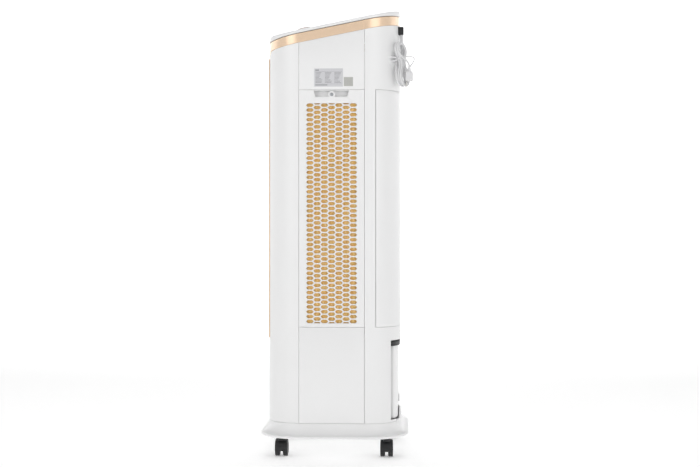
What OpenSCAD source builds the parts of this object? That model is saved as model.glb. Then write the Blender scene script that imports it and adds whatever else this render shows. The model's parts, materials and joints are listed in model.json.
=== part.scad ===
// Tower evaporative air cooler on twin-wheel casters.
// Z is up, the air outlet faces -Y, and the origin is on the floor under the middle of the body.

/* [Body] */
// Width of the body, side to side
body_w = 374; // [366:1:380]
// Depth of the body, front to back
body_d = 333; // [330:1:336]
// Corner radius of the body seen from above
corner_r = 85; // [83:1:87]
// Wall thickness of the moulded shells
wall = 3; // [2.5:0.1:3]
// Height of the trim band's top edge, at the middle of the body
band_top = 1078.8; // [1070:0.1:1090]
// Height of the trim band
band_h = 23; // [20:0.5:26]
// Slope of the top, rising to the back, in degrees
slope = 11.1; // [9:0.1:12]
// Height of the lid at its side edges
lid_edge = 8; // [7:0.5:10]
// Rise of the lid from its side edges to its ridge
lid_crown = 11; // [8:0.5:14]

/* [Base] */
// How far the base plate stands out past the body
foot_out = 21; // [18:1:24]
// Underside of the base plate above the floor
foot_z = 54; // [53:1:56]
// Height at which the body starts
body_z = 91.4; // [90:0.2:94]
// Caster wheel radius
wheel_r = 20; // [19:0.5:20]
// Distance of the caster stems from the middle, across
stem_x = 140; // [130:1:144]
// Distance of the caster stems from the middle, front to back
stem_y = 133; // [120:1:136]

/* [Filters] */
// Width of a side filter
filter_w = 163; // [160:0.5:163]
// Lowest edge of the filters
filter_z0 = 330.7; // [328:0.1:334]
// Highest edge of the filters
filter_z1 = 921; // [915:1:925]
// Middle of the side filters, front to back
filter_y = -2.95; // [-3:0.05:-2]
// How far a filter pulls out
filter_travel = 100; // [50:5:120]

/* [Outlet] */
// Height of the lowest louver's pivot
louver_z0 = 500; // [495:1:505]
// Spacing of the louvers
louver_pitch = 60; // [58:1:60]
// How far the louvers tip each way, in degrees
louver_tilt = 30; // [15:1:32]
// Outer radius of the fan wheel
fan_r = 48; // [40:1:50]

/* [Hidden] */
$fn = 48;

white = [0.95, 0.95, 0.94];
champagne = [0.86, 0.75, 0.62];
black = [0.07, 0.07, 0.075];
honey = [0.9, 0.72, 0.38];
steel = [0.7, 0.71, 0.73];
grey = [0.72, 0.73, 0.75];

half_w = body_w / 2;
half_d = body_d / 2;
seam = 0.8;                                  // shadow gap between two shells
far = 1400;                                  // longer than the object, for cutting blocks
seam_front = filter_y - filter_w / 2 - 0.3;  // the two upright seams on each side
seam_rear = filter_y + filter_w / 2 + 0.3;
cover_seam = 105.7;                          // front edge of the wrap-round rear filter cover
shell_low = 310;                             // lower edge of the rear shell, over the tank
tank_seam = 144;                             // where the side shell stops beside the tank
deck_z = 312;
trim_z0 = 298;                               // foot of the front trim
trim_half = 124.5;                           // half width of the front trim, over the corners
panel_half = 105;                            // half width of the flat front panel
outlet_half = 80;
duct_back = -128;                            // rear end of the outlet duct
duct_wall = 3;
louvers = 8;
louver_y = -148;
louver_pin_r = 2.5;
crank = 12;                                  // from a louver's pivot back to its crank pin
outlet_z0 = louver_z0 - louver_pitch / 2;
outlet_z1 = outlet_z0 + louvers * louver_pitch;
fan_y = -55;
shaft_r = 4;
fit = 0.06;                                  // radial clearance of a running fit
knob_y = -79;
stem_r = 5.5;
sleeve_r = 7;
trail = 12;                                  // from a caster's stem back to its axle
cord_r = 2.6;
run_up = tan(slope);

function arc(cx, cy, rx, ry, a0, a1, steps) =
  [for (i = [0:steps]) let (a = a0 + (a1 - a0) * i / steps) [cx + rx * cos(a), cy + ry * sin(a)]];
// Outline of the body seen from above, moved inwards by inset
function plan(inset) =
  let (x = half_w - corner_r, y = half_d - corner_r, r = corner_r - inset, n = 14)
  concat(arc(x, y, r, r, 0, 90, n), arc(-x, y, r, r, 90, 180, n),
         arc(-x, -y, r, r, 180, 270, n), arc(x, -y, r, r, 270, 360, n));
// Height of the band's top edge at a given Y
function top_at(y) = band_top + run_up * y;

module prism(inset, z0, z1) { translate([0, 0, z0]) linear_extrude(z1 - z0) polygon(plan(inset)); }
module skin(z0, z1, out = 0, thick = wall) {
  translate([0, 0, z0]) linear_extrude(z1 - z0)
    difference() { polygon(plan(out)); polygon(plan(out + thick)); }
}
module block(x0, x1, y0, y1, z0, z1) {
  translate([x0, y0, z0]) cube([x1 - x0, y1 - y0, z1 - z0]);
}
// Everything between two heights over the sloping top edge of the band
module slab(low, high) {
  translate([0, 0, band_top + low]) rotate([slope, 0, 0])
    translate([-far / 2, -far, 0]) cube([far, 2 * far, (high - low) * cos(slope)]);
}
module on_top(y, up = 0) { translate([0, y, top_at(y) + up]) rotate([slope, 0, 0]) children(); }
module both() { children(); mirror([1, 0, 0]) children(); }
module side(sx) { if (sx > 0) children(); else mirror([1, 0, 0]) children(); }

// ---- base ----
module at_casters() { for (i = [0:3]) translate([(i % 2 == 0 ? 1 : -1) * stem_x, (i < 2 ? -1 : 1) * stem_y, 0]) children(); }
module base_plate() color(white) {
  rim_top = foot_z + 7;
  difference() {
    union() {
      prism(-foot_out, foot_z, rim_top);
      hull() { prism(-foot_out + 5, rim_top - 0.5, rim_top); prism(-5, rim_top + 9, rim_top + 9.5); }
      hull() { prism(-5, rim_top + 9, rim_top + 9.5); prism(0, body_z - 1, body_z - 0.4); }
    }
    prism(wall + 1, foot_z + 5, far);
    at_casters() cylinder(r = sleeve_r, h = foot_z + 24);
  }
  difference() {
    at_casters() cylinder(r = 11, h = foot_z + 28);
    translate([0, 0, foot_z + 4.5 - far]) cylinder(r = far, h = far);
    at_casters() cylinder(r = sleeve_r, h = foot_z + 24);
  }
  // rails that the tank slides on
  both() block(95, 105, -115, 140, foot_z + 4.5, 97.6);
  // upstand behind the tank
  intersection() {
    skin(body_z - 20, 95.5, -2, 5);
    block(-138, 138, 140, far, 0, far);
  }
}
module caster_sleeves() color(steel) {
  at_casters() translate([0, 0, foot_z + 0.2]) difference() {
    cylinder(r = sleeve_r, h = 23.8);
    translate([0, 0, -1]) cylinder(r = stem_r + fit, h = 23.3);
  }
}
module caster(i) color(black) {
  x = (i % 2 == 0 ? 1 : -1) * stem_x;
  y = (i < 2 ? -1 : 1) * stem_y;
  translate([x, y, 0]) {
    translate([0, 0, 42]) cylinder(r = stem_r, h = foot_z + 21 - 42);
    translate([0, 0, 40]) cylinder(r = 9, h = foot_z - 2.5 - 40);
    translate([-trail, 0, wheel_r]) rotate([90, 0, 0]) difference() {
      cylinder(r = wheel_r + 4.2, h = 37, center = true);
      for (s = [-1, 1]) translate([0, 0, s * 13.2]) cylinder(r = wheel_r + 1.4, h = 20, center = true);
      translate([-far / 2, -far - 4, -far / 2]) cube([far, far, far]);
      cylinder(r = 3 + fit, h = 60, center = true);
    }
    // web that carries the axle below the hood
    translate([-trail, 0, wheel_r]) rotate([90, 0, 0]) difference() {
      cylinder(r = 9, h = 6, center = true);
      cylinder(r = 3 + fit, h = 60, center = true);
    }
  }
}
module wheels(i) color(black) {
  x = (i % 2 == 0 ? 1 : -1) * stem_x;
  y = (i < 2 ? -1 : 1) * stem_y;
  translate([x - trail, y, wheel_r]) rotate([90, 0, 0]) {
    cylinder(r = 3, h = 34, center = true);
    for (s = [0, 1]) mirror([0, 0, s]) rotate_extrude()
      polygon([[2, 3.6], [17, 3.6], [18.8, 4.2], [wheel_r, 6], [wheel_r, 15.5], [18.8, 17.4], [12, 18], [2, 16.5]]);
  }
}

// ---- shells ----
// Front view of the champagne trim's outer edge: it flares into the band at the top
module trim_region() {
  flare = 27;
  drop = 17;
  z_flare = 1008;
  outline = concat([[trim_half, trim_z0]], arc(trim_half + flare, z_flare, flare, drop, 180, 90, 8),
                   [[trim_half + flare, far]]);
  translate([0, -half_d / 2, 0]) rotate([90, 0, 0]) linear_extrude(far)
    polygon(concat(outline, [for (i = [len(outline) - 1:-1:0]) [-outline[i][0], outline[i][1]]]));
}
module front_shell() color(white) {
  difference() {
    intersection() {
      skin(body_z, far);
      slab(-far, -band_h - 0.3);
      block(-far, far, -far, seam_front - seam / 2, 0, far);
    }
    trim_region();
  }
}
module front_trim() color(champagne) {
  difference() {
    intersection() {
      skin(trim_z0 + seam, far);
      slab(-far, -band_h);
      trim_region();
    }
    block(-panel_half, panel_half, -far, 0, trim_z0 + 8, 1010);
    // side clearance to the shell
    both() block(trim_half - 0.3, trim_half + 1, -far, 0, 0, 1006);
  }
}
module rear_shell() color(white) {
  difference() {
    intersection() {
      skin(body_z, far);
      slab(-far, -band_h - 0.3);
      block(-far, far, seam_rear + seam / 2, far, 0, far);
    }
    block(-far, far, cover_seam, far, filter_z0 - 0.6, filter_z1 + 0.6);
    block(-far, far, tank_seam, far, 0, shell_low);
    translate([118, 160, 1076]) cube([24.6, 40, 20.6], center = true);
  }
}
module side_panel(sx) color(white) side(sx) {
  y0 = seam_front + seam / 2;
  y1 = seam_rear - seam / 2;
  intersection() {
    slab(-far, -band_h - 0.3);
    difference() {
      block(half_w - wall, half_w, y0, y1, body_z, far);
      block(0, far, -far, far, filter_z0 - 0.6, filter_z1 + 0.6);
    }
  }
  // frame round the filter, behind its face
  difference() {
    block(half_w - 36, half_w - wall, y0, y1, filter_z0 - 10, filter_z1 + 3);
    block(0, far, y0 + 4, y1 - 4, filter_z0 - 0.6, filter_z1 + 0.6);
  }
}
module top_band() color(champagne) {
  intersection() { skin(900, far, 0, wall); slab(-band_h, 0); }
  intersection() { skin(900, far, wall - 0.2, 9); slab(-6, -3); }
}
function crown(x) = lid_edge + lid_crown * (1 - pow(x / half_w, 2));
module top_cover() color(white) {
  gap = 1.5;
  outer = [for (i = [-20:20]) let (x = (half_w + 2) * i / 20) [x, crown(x)]];
  difference() {
    intersection() {
      prism(0, 900, far);
      translate([0, 0, band_top + gap]) rotate([slope, 0, 0]) rotate([90, 0, 0])
        linear_extrude(far, center = true)
          polygon(concat(outer, [[half_w + 2, 0], [-half_w - 2, 0]]));
    }
    intersection() {
      prism(wall, 800, far);
      translate([0, 0, band_top + gap - wall]) rotate([slope, 0, 0]) rotate([90, 0, 0])
        linear_extrude(far, center = true)
          polygon(concat(outer, [[half_w + 2, -20], [-half_w - 2, -20]]));
    }
    on_top(knob_y) translate([0, 0, -20]) cylinder(r = 5, h = 80);
  }
}
module front_panel() color(white) {
  y_face = -half_d + 1;
  o = outlet_half;
  w = duct_wall;
  difference() {
    union() {
      block(-panel_half + 0.4, panel_half - 0.4, y_face, y_face + wall, trim_z0 + 8.4, 1009.6);
      block(-o - w, o + w, y_face, duct_back, outlet_z0 - w, outlet_z1 + w);
    }
    block(-o, o, -far, 0, outlet_z0, outlet_z1);
    for (i = [0:louvers - 1]) translate([0, louver_y, louver_z0 + i * louver_pitch])
      rotate([0, 90, 0]) cylinder(r = louver_pin_r + fit, h = 4 * o, center = true);
    block(-46, 46, -far, y_face + 2.1, 967, 998);
  }
  // upright guard fins behind the louvers
  for (i = [-6:6]) 
    block(i * 12 - 1, i * 12 + 1, duct_back - 3, duct_back, outlet_z0 - 1, outlet_z1 + 1);
}
module display_window() color([0.05, 0.05, 0.06]) {
  block(-45.7, 45.7, -half_d + 1.2, -half_d + 3.1, 967.3, 997.7);
}
module side_labels() {
  color(grey) block(half_w, half_w + 0.3, -46, 25.4, 928.6, 973.8);
  color([0.62, 0.63, 0.6]) block(half_w, half_w + 0.3, 27.4, 50.3, 929.6, 952);
}

// ---- louvers ----
function louver_z(i) = louver_z0 + (i - 1) * louver_pitch;
module louver(i) color(champagne) {
  end = outlet_half - 1.2;
  translate([0, louver_y, louver_z(i)]) {
    rotate([0, 90, 0]) {
      // aerofoil blade, thick at the pivot
      translate([0, 0, -end]) linear_extrude(2 * end - 9) polygon(arc(0, 0, 2.6, 15, 0, 345, 23));
      translate([0, 0, -outlet_half - 2.2]) cylinder(r = louver_pin_r, h = 2 * outlet_half + 4.4);
      // crank pin that the link hangs on
      translate([0, crank, end - 10]) cylinder(r = 1.5, h = 9.5);
    }
  }
}
module louver_link() color(white) {
  x = outlet_half - 7;
  difference() {
    block(x, x + 3, louver_y + crank - 3, louver_y + crank + 3, louver_z(1) - 6, louver_z(louvers) + 6);
    for (i = [1:louvers]) translate([x - 2, louver_y + crank, louver_z(i)])
      rotate([0, 90, 0]) cylinder(r = 1.5 + fit, h = 8);
  }
}
module swing_motor() color(grey) {
  // geared motor beside the outlet, over the lowest louver
  block(outlet_half + 4, outlet_half + 22, louver_y + 1.5, louver_y + 16, louver_z(1) - 14, louver_z(1) + 14);
}

// ---- fan ----
module fan_deck() color(white) {
  difference() {
    union() {
      prism(wall + 0.4, deck_z, deck_z + 3);
      for (sx = [-1, 1], y = [-100, 5]) block(sx * 70 - 6, sx * 70 + 6, y - 6, y + 6, deck_z, outlet_z0 - 7);
    }
    translate([125, 100, 0]) cylinder(r = 7, h = far);
    for (i = [-4:4]) block(i * 24 - 8, i * 24 + 8, 136, 142, 0, far);
    // notches for the front panel and over the finger gap of the tank
    block(-panel_half - 1, panel_half + 1, -far, -half_d + wall + 1.5, 0, far);
    block(-far, far, tank_seam + 14, far, 0, far);
  }
}
module scroll_housing() color(white) {
  t = 2.4;
  o = outlet_half - 1;
  front = duct_back + 0.4;
  spiral = [for (i = [0:8]) let (a = 150 + 6 * i, r = fan_r + 4 + 2 * i)
    [r * cos(a), fan_y + r * sin(a)]];
  outside = [for (i = [8:-1:0]) let (a = 150 + 6 * i, r = fan_r + 4 + t + 2 * i)
    [r * cos(a), fan_y + r * sin(a)]];
  z0 = outlet_z0 - 4;
  z1 = outlet_z1 + 4;
  translate([0, 0, z0]) linear_extrude(z1 - z0) {
    polygon(concat(spiral, [[-o, front], [-o - t, front]], outside));
    // tongue on the other side of the wheel
    polygon([[o, front], [o + t, front], [fan_r + 10, fan_y - 8], [fan_r + 5, fan_y - 12]]);
  }
  difference() {
    block(-o - t, o + t, front, 10, z0 - 3, z0);
    translate([0, fan_y, 0]) cylinder(r = 9, h = far);
  }
}
module fan_top_plate() color(white) {
  z1 = outlet_z1 + 4;
  difference() {
    block(-outlet_half - 1.4, outlet_half + 1.4, duct_back + 0.4, 10, z1 + 0.1, z1 + 3.1);
    translate([0, fan_y, 0]) cylinder(r = 8, h = far);
  }
}
module fan_bush() color([0.75, 0.6, 0.35]) {
  z1 = outlet_z1 + 4;
  translate([0, fan_y, z1 - 1.9]) difference() {
    cylinder(r = 8, h = 8);
    translate([0, 0, -1]) cylinder(r = shaft_r + fit, h = 20);
  }
}
module fan_motor() color(steel) {
  top = outlet_z0 - 7;
  translate([0, fan_y, top - 76]) difference() {
    union() { cylinder(r = 42, h = 66); translate([0, 0, 60]) cylinder(r = 22, h = 16); }
    translate([0, 0, 40]) cylinder(r = shaft_r + fit, h = 60);
  }
}
module fan_shaft() color(steel) {
  translate([0, fan_y, outlet_z0 - 38]) cylinder(r = shaft_r, h = outlet_z1 + 10 - outlet_z0 + 38);
}
module fan_wheel() color([0.25, 0.26, 0.28]) {
  n = 24;
  z0 = outlet_z0 + 4;
  z1 = outlet_z1 - 4;
  rings = 5;
  translate([0, fan_y, 0]) {
    for (k = [0:n - 1]) rotate([0, 0, k * 360 / n])
      translate([fan_r - 9, 0, z0 + 1]) rotate([0, 0, 28]) translate([-4, -0.7, 0]) cube([11, 1.4, z1 - z0 - 2]);
    for (k = [0:rings]) translate([0, 0, z0 + k * (z1 - z0 - 2.5) / rings]) difference() {
      cylinder(r = fan_r, h = 2.5);
      if (k > 0 && k < rings) translate([0, 0, -1]) cylinder(r = fan_r - 15, h = 5);
      translate([0, 0, -1]) cylinder(r = shaft_r, h = 5);
    }
    for (z = [z0 + 2, z1 - 14]) translate([0, 0, z]) difference() {
      cylinder(r = 11, h = 12);
      translate([0, 0, -1]) cylinder(r = shaft_r, h = 20);
    }
  }
}

// ---- water ----
module tray_outline(d) {
  both() {
    translate([150 + d, -80 + d]) square([30 - 2 * d, 178 - 2 * d]);
    translate([110 + d, 88 + d]) square([50 - 2 * d, 46 - 2 * d]);
  }
  translate([-118 + d, 126 + d]) square([236 - 2 * d, 33 - 2 * d]);
}
module water_tray() color(white) {
  z = filter_z1 + 5;
  difference() {
    translate([0, 0, z]) linear_extrude(16) tray_outline(0);
    translate([0, 0, z + 2]) linear_extrude(20) tray_outline(2);
    translate([125, 100, 0]) cylinder(r = 6, h = far);
  }
}
module water_pump() color(black) {
  block(105, 137, 82, 118, 106, 150);
  translate([112, 90, 149]) cylinder(r = 4, h = deck_z - 149);
  translate([125, 100, 149]) difference() { cylinder(r = 8.5, h = 16); translate([0, 0, 1]) cylinder(r = 6, h = 20); }
}
module water_hose() color([0.9, 0.9, 0.88]) {
  translate([125, 100, 150]) difference() {
    cylinder(r = 6, h = filter_z1 + 12 - 150);
    translate([0, 0, -1]) cylinder(r = 4, h = far);
  }
}
module tank_outline(inset) {
  intersection() {
    polygon(plan(6 + inset));
    translate([-141 + inset, -112 + inset]) square([282 - 2 * inset, 400]);
  }
}
module water_tank() color([0.93, 0.93, 0.92]) {
  z0 = 98;
  difference() {
    translate([0, 0, z0]) linear_extrude(275 - z0) tank_outline(0);
    translate([0, 0, z0 + 3]) linear_extrude(275) tank_outline(3);
    translate([-100, 100, z0 + 22]) rotate([-90, 0, 0]) cylinder(r = 8, h = 100);
  }
}
module tank_handle() color(black) {
  intersection() {
    skin(275, 293, 0.5, 10);
    block(-156, 156, tank_seam + 0.5, far, 0, far);
  }
}
module drain_plug() color([0.3, 0.31, 0.33]) {
  translate([-100, half_d - 10, 120]) rotate([-90, 0, 0]) {
    cylinder(r = 8, h = 5);
    translate([0, 0, 4]) cylinder(r = 11, h = 4);
  }
}

// ---- filters ----
function hexagon(y, z, w, h) = [[y - w / 2, z], [y - w / 4, z + h / 2], [y + w / 4, z + h / 2],
                                [y + w / 2, z], [y + w / 4, z - h / 2], [y - w / 4, z - h / 2]];
module x_plate(x0, x1) { translate([x0, 0, 0]) rotate([90, 0, 90]) linear_extrude(x1 - x0) children(); }
pocket_y0 = -47.5;
pocket_y1 = 40.3;
pocket_z0 = 903.5;
pocket_z1 = 919.2;
boss_y = -2.8;
boss_z = 909.2;
module side_grille(sx) color(white) side(sx) {
  cols = 5;
  rows = 22;
  pitch_y = 25.2;
  pitch_z = 25;
  y0 = filter_y - filter_w / 2;
  y1 = filter_y + filter_w / 2;
  rim = 5.5;
  face = half_w - wall;
  x_plate(face, half_w) difference() {
    translate([y0, filter_z0]) square([filter_w, filter_z1 - filter_z0]);
    for (c = [0:cols - 1], r = [0:rows - 1])
      polygon(hexagon(filter_y + (c - 2) * pitch_y, filter_z0 + 21 + r * pitch_z + (c % 2) * pitch_z / 2, 24, 19));
    polygon([[pocket_y0, pocket_z1], [pocket_y0 + 4, pocket_z0], [pocket_y1 - 4, pocket_z0], [pocket_y1, pocket_z1]]);
  }
  // tray that the pad sits in
  difference() {
    block(face - 26, face, y0 + rim, y1 - rim, filter_z0 + 2, pocket_z0 - 1.5);
    block(0, far, y0 + rim + 1.3, y1 - rim - 1.3, filter_z0 + 3.3, pocket_z0 - 3);
  }
  // finger recess
  difference() {
    block(face - 14, face, pocket_y0 - 1.5, pocket_y1 + 1.5, pocket_z0 - 1.5, pocket_z1 + 1.3);
    block(face - 12.5, far, pocket_y0, pocket_y1, pocket_z0, pocket_z1);
  }
  difference() {
    translate([face - 13, boss_y, boss_z]) rotate([0, 90, 0]) cylinder(r = 9, h = 13 + wall - 0.4);
    translate([face - 10, boss_y, boss_z]) rotate([0, 90, 0]) cylinder(r = 2, h = 40);
    block(0, far, -far, far, 0, pocket_z0 - 1);
  }
}
module side_pad(sx) color(honey) side(sx) {
  block(half_w - 28.6, half_w - wall - 1, filter_y - 74.3, filter_y + 74.3, filter_z0 + 3.8, 899.8);
}
module grille_screw(sx) color(steel) side(sx) {
  translate([half_w - 0.4, boss_y, boss_z]) rotate([0, 90, 0]) difference() {
    union() { cylinder(r = 4.4, h = 1.5); translate([0, 0, -9]) cylinder(r = 1.95, h = 9.2); }
    for (a = [0, 90]) rotate([0, 0, a]) translate([-2.6, -0.5, 0.7]) cube([5.2, 1, 2]);
  }
}
module rear_cover() color(white) {
  cols = 5;
  rows = 34;
  win = 99;
  y_face = half_d;
  difference() {
    intersection() {
      skin(filter_z0, filter_z1);
      block(-far, far, cover_seam + seam / 2, far, 0, far);
    }
    block(-win, win, 100, far, filter_z0 + 10, filter_z1 - 10);
  }
  translate([0, y_face, 0]) rotate([90, 0, 0]) linear_extrude(wall) difference() {
    translate([-win - 1, filter_z0 + 9]) square([2 * win + 2, filter_z1 - filter_z0 - 18]);
    for (c = [0:cols - 1], r = [0:rows - 1])
      translate([(c - 2) * 38 - 16, filter_z0 + 16 + r * 16.8]) square([32, 8]);
  }
}
module rear_pad() color(honey) { block(-112, 112, 131, 159, filter_z0 + 6, filter_z1 - 6); }

// ---- controls ----
module control_board() color([0.1, 0.32, 0.18]) {
  on_top(-80) translate([-80, -52, -14]) cube([160, 104, 1.6]);
  on_top(knob_y) difference() {
    translate([-13, -13, -12.6]) cube([26, 26, 20]);
    translate([0, 0, -9]) cylinder(r = 3 + fit, h = 40);
  }
}
module mode_knob() color(champagne) {
  base = 1.5 + lid_edge + lid_crown + 0.1;
  on_top(knob_y) {
    translate([0, 0, -6]) cylinder(r = 3, h = base + 8);
    translate([0, 0, base]) rotate_extrude()
      polygon([[0, 0], [18, 0], [18, 20.5], [17.4, 21.7], [16, 22.3], [0, 22.3]]);
  }
}
module shell_screws() color(steel) {
  for (sx = [-1, 1], z = [948, 1040]) translate([sx * 86, half_d, z]) rotate([-90, 0, 0]) {
    cylinder(r = 4, h = 1.2);
    translate([0, 0, -12]) cylinder(r = 1.7, h = 12.2);
  }
}

// ---- mains lead ----
outlet_at = [118, 171, 1066];
relief_h = 26;
hank_at = [153.4, 170.5, 988];
hank_turn = -30;
hank_lean = 7;
hank_w = 47;
hank_h = 118;
hank_t = 16;
plug_at = [168.5, 190, 968];
boot_h = 12;
lead_route = [[118, 171, 1040], [118.5, 171, 1036], [119.5, 171.5, 1032], [121.5, 172, 1028], [125, 172.5, 1024],
  [128, 173.5, 1020], [130, 174, 1016], [131, 174, 1012], [131.5, 174.5, 1008]];
tail_route = [[167.5, 163.5, 1024], [167.5, 164.5, 1017.5], [167.5, 167.5, 1011.5], [167.5, 172, 1006],
  [168, 177, 1001.5], [168, 182, 996.5], [168.5, 186, 991.5], [168.5, 189, 985.5], [168.5, 190, 980]];

function unit(v) = v / norm(v);
function heading(p, i) = unit(p[min(i + 1, len(p) - 1)] - p[max(i - 1, 0)]);
function ring_at(c, t, r, n) = let (a = unit(cross(t, [1, 0, 0])), b = cross(t, a))
  [for (k = [0:n - 1]) c + r * (cos(360 * k / n) * a + sin(360 * k / n) * b)];
module tube(p, r, n = 10) {
  m = len(p);
  polyhedron(
    points = [for (i = [0:m - 1]) each ring_at(p[i], heading(p, i), r, n)],
    faces = concat(
      [[for (k = [0:n - 1]) k]],
      [[for (k = [n - 1:-1:0]) (m - 1) * n + k]],
      [for (i = [0:m - 2], k = [0:n - 1]) let (j = (k + 1) % n)
        [i * n + k, (i + 1) * n + k, (i + 1) * n + j, i * n + j]]));
}
module cord_outlet() color(black) {
  difference() {
    block(outlet_at[0] - 12, outlet_at[0] + 12, 150, 176, 1066, 1086);
    block(outlet_at[0] - 9, outlet_at[0] + 9, 149, 173.5, 1069, 1083);
  }
}
module strain_relief() color([0.85, 0.85, 0.84]) {
  translate(outlet_at - [0, 0, relief_h]) rotate_extrude()
    polygon([[0, 0], [3.2, 0], [4.6, relief_h], [0, relief_h]]);
}
module cord_lead() color([0.88, 0.88, 0.87]) { tube(lead_route, cord_r); }
module cord_tail() color([0.88, 0.88, 0.87]) { tube(tail_route, cord_r); }
module cord_hank() color([0.88, 0.88, 0.87]) {
  run = (hank_h - hank_w) / 2;
  r = hank_w / 2;
  translate(hank_at) rotate([0, 0, hank_turn]) rotate([hank_lean, 0, 0]) rotate([90, 0, 0])
    linear_extrude(hank_t, center = true)
      polygon(concat(arc(0, run, r, r, 0, 180, 16), arc(0, -run, r, r, 180, 360, 16)));
}
module plug() color([0.88, 0.88, 0.87]) {
  x = plug_at[0];
  y = plug_at[1];
  z = plug_at[2];
  block(x - 6.5, x + 6.5, y - 9.5, y + 9.5, z - 24, z);
  translate([x, y, z]) rotate_extrude() polygon([[0, -1], [5, -1], [3.2, boot_h], [0, boot_h]]);
  for (s = [-1, 1]) translate([x - 3.15, y + s * 6.35 - 0.75, z - 40]) cube([6.3, 1.5, 17]);
}

base_plate();
caster_sleeves();
front_shell();
rear_shell();
side_panel(-1);  // side_panel_left
side_panel(1);  // side_panel_right
top_band();
top_cover();
front_trim();
front_panel();
display_window();
control_board();
fan_deck();
scroll_housing();
fan_top_plate();
fan_motor();
fan_bush();
swing_motor();
water_tray();
water_pump();
water_hose();
side_labels();
shell_screws();
cord_outlet();
strain_relief();
cord_lead();
cord_hank();
cord_tail();
plug();
mode_knob();
fan_wheel();
fan_shaft();
louver_link();
for (i = [1:louvers]) louver(i);
side_grille(-1);  // side_grille_left
side_grille(1);  // side_grille_right
side_pad(-1);  // side_pad_left
side_pad(1);  // side_pad_right
grille_screw(-1);  // grille_screw_left
grille_screw(1);  // grille_screw_right
rear_cover();
rear_pad();
water_tank();
tank_handle();
drain_plug();
for (i = [1:4]) {
  caster(i - 1);
  wheels(i - 1);
}
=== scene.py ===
"""Looks layer of the tower evaporative cooler: finishes, detailed pieces, cord, camera and light.

Lengths in the tables and functions are millimetres in the shared frame (+Z up, front -Y, rear +Y);
they are turned into metres where a mesh or curve is made.
"""
import json
import math

import bmesh
import bpy
from mathutils import Matrix, Vector


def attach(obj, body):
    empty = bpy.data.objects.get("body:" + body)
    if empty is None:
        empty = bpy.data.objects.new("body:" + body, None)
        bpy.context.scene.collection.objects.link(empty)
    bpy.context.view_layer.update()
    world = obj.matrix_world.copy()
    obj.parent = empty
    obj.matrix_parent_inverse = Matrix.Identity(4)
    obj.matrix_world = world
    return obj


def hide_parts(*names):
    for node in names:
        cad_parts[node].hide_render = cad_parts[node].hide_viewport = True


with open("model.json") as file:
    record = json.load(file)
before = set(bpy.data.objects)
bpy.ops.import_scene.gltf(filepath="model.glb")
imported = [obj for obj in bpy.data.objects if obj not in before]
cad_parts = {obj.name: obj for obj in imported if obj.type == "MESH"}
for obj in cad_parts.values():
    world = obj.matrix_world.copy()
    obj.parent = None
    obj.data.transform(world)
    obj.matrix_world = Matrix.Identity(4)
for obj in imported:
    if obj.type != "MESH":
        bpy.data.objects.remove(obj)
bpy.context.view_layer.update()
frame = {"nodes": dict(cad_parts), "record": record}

MM = 0.001
V = Vector


# ---------------------------------------------------------------- node helpers
def linear(code):
    """An sRGB hex colour as linear RGBA."""
    parts = [int(code[i : i + 2], 16) / 255 for i in (0, 2, 4)]
    parts = [c / 12.92 if c <= 0.04045 else ((c + 0.055) / 1.055) ** 2.4 for c in parts]
    return (*parts, 1.0)


def add(tree, kind, inputs=None, **props):
    """Adds one node. An input takes a value, or another node's output to link from."""
    node = tree.nodes.new(kind)
    for key, value in props.items():
        setattr(node, key, value)
    for key, value in (inputs or {}).items():
        if isinstance(value, bpy.types.NodeSocket):
            tree.links.new(value, node.inputs[key])
        else:
            node.inputs[key].default_value = value
    return node


def per_mm(size):
    """Texture scale whose features are about this many millimetres across."""
    return 1000.0 / size


def finish(name, color, roughness, **sockets):
    """A Principled finish. Returns material, tree, shader and object coordinates."""
    mat = bpy.data.materials.new(name)
    mat.use_nodes = True
    tree = mat.node_tree
    tree.nodes.clear()
    inputs = {"Base Color": linear(color), "Roughness": roughness}
    inputs.update({key.replace("_", " "): value for key, value in sockets.items()})
    shader = add(tree, "ShaderNodeBsdfPrincipled", inputs)
    add(tree, "ShaderNodeOutputMaterial", {"Surface": shader.outputs["BSDF"]})
    mat.diffuse_color = linear(color)
    return mat, tree, shader, add(tree, "ShaderNodeTexCoord").outputs["Object"]


def vary(tree, shader, where, size, low, high):
    """Drives the roughness between two values with noise of this feature size."""
    noise = add(tree, "ShaderNodeTexNoise", {"Vector": where, "Scale": per_mm(size), "Detail": 3.0})
    span = add(tree, "ShaderNodeMapRange", {"Value": noise.outputs["Fac"], "To Min": low, "To Max": high})
    tree.links.new(span.outputs["Result"], shader.inputs["Roughness"])


def tint(tree, shader, factor, first, second):
    """Colours a shader between two colours by a factor."""
    mix = add(tree, "ShaderNodeMix", {0: factor, 6: linear(first), 7: linear(second)}, data_type="RGBA")
    tree.links.new(mix.outputs[2], shader.inputs["Base Color"])


def grain(tree, shader, where, size, depth, strength=0.5):
    """Moulded grain as a bump of this feature size and depth."""
    noise = add(tree, "ShaderNodeTexNoise", {"Vector": where, "Scale": per_mm(size), "Detail": 2.0})
    bump = add(
        tree, "ShaderNodeBump", {"Height": noise.outputs["Fac"], "Strength": strength, "Distance": depth * MM}
    )
    tree.links.new(bump.outputs["Normal"], shader.inputs["Normal"])


# ---------------------------------------------------------------- finishes
def plain(name, color, roughness, size, low, high, **sockets):
    """A finish that only varies in roughness, between low and high over features of this size."""
    mat, tree, shader, where = finish(name, color, roughness, **sockets)
    vary(tree, shader, where, size, low, high)
    return mat


def white_shell():
    """Glossy-satin injection-moulded ABS: nearly even roughness, slight orange peel from the mould."""
    mat, tree, shader, where = finish("White ABS, injection moulded", "F3F3F3", 0.34, IOR=1.54)
    vary(tree, shader, where, 9.0, 0.31, 0.38)
    grain(tree, shader, where, 1.4, 0.012, 0.35)
    return mat


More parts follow.
